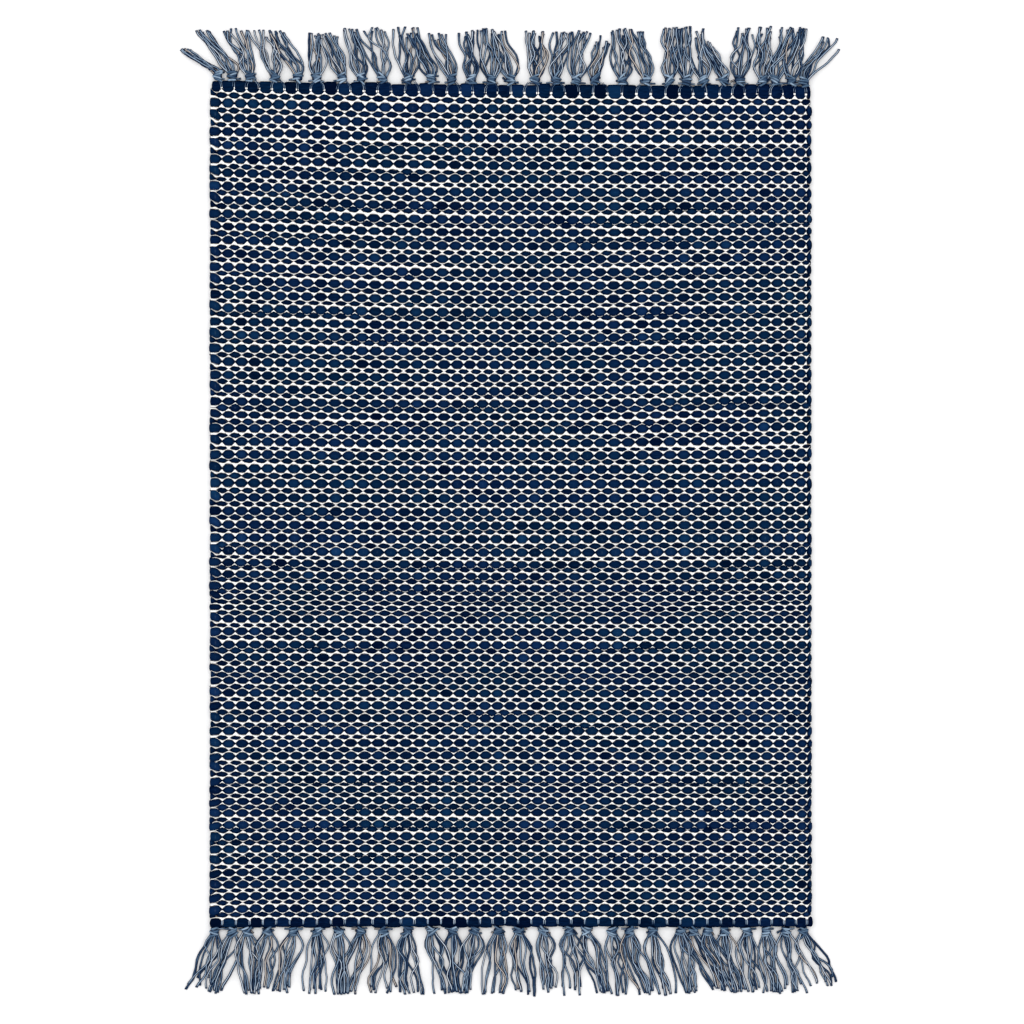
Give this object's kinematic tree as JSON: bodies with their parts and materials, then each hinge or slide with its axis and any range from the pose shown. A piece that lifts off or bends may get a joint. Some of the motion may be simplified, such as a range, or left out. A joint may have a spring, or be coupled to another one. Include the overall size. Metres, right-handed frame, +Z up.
{
  "type": "flat-woven accent rug with knotted fringe",
  "caption": "Flat-woven cotton accent rug, dark blue with white pick lines, corded headings and knotted tassel fringe at both ends.",
  "frame": {"origin": "middle of the rug on the floor, on the flat underside of the woven field", "axes": "+Z up from the floor, +Y along the rug towards the far fringe, which is the picture's top, and +X to the right"},
  "size_m": [0.6563, 0.971, 0.0087],
  "materials": {
    "woven_cotton": "matte",
    "warp_yarn": "matte"
  },
  "bodies": {
    "root": {"rug_field": "woven_cotton", "fringe_far": "warp_yarn", "fringe_near": "warp_yarn"}
  },
  "joints": []
}
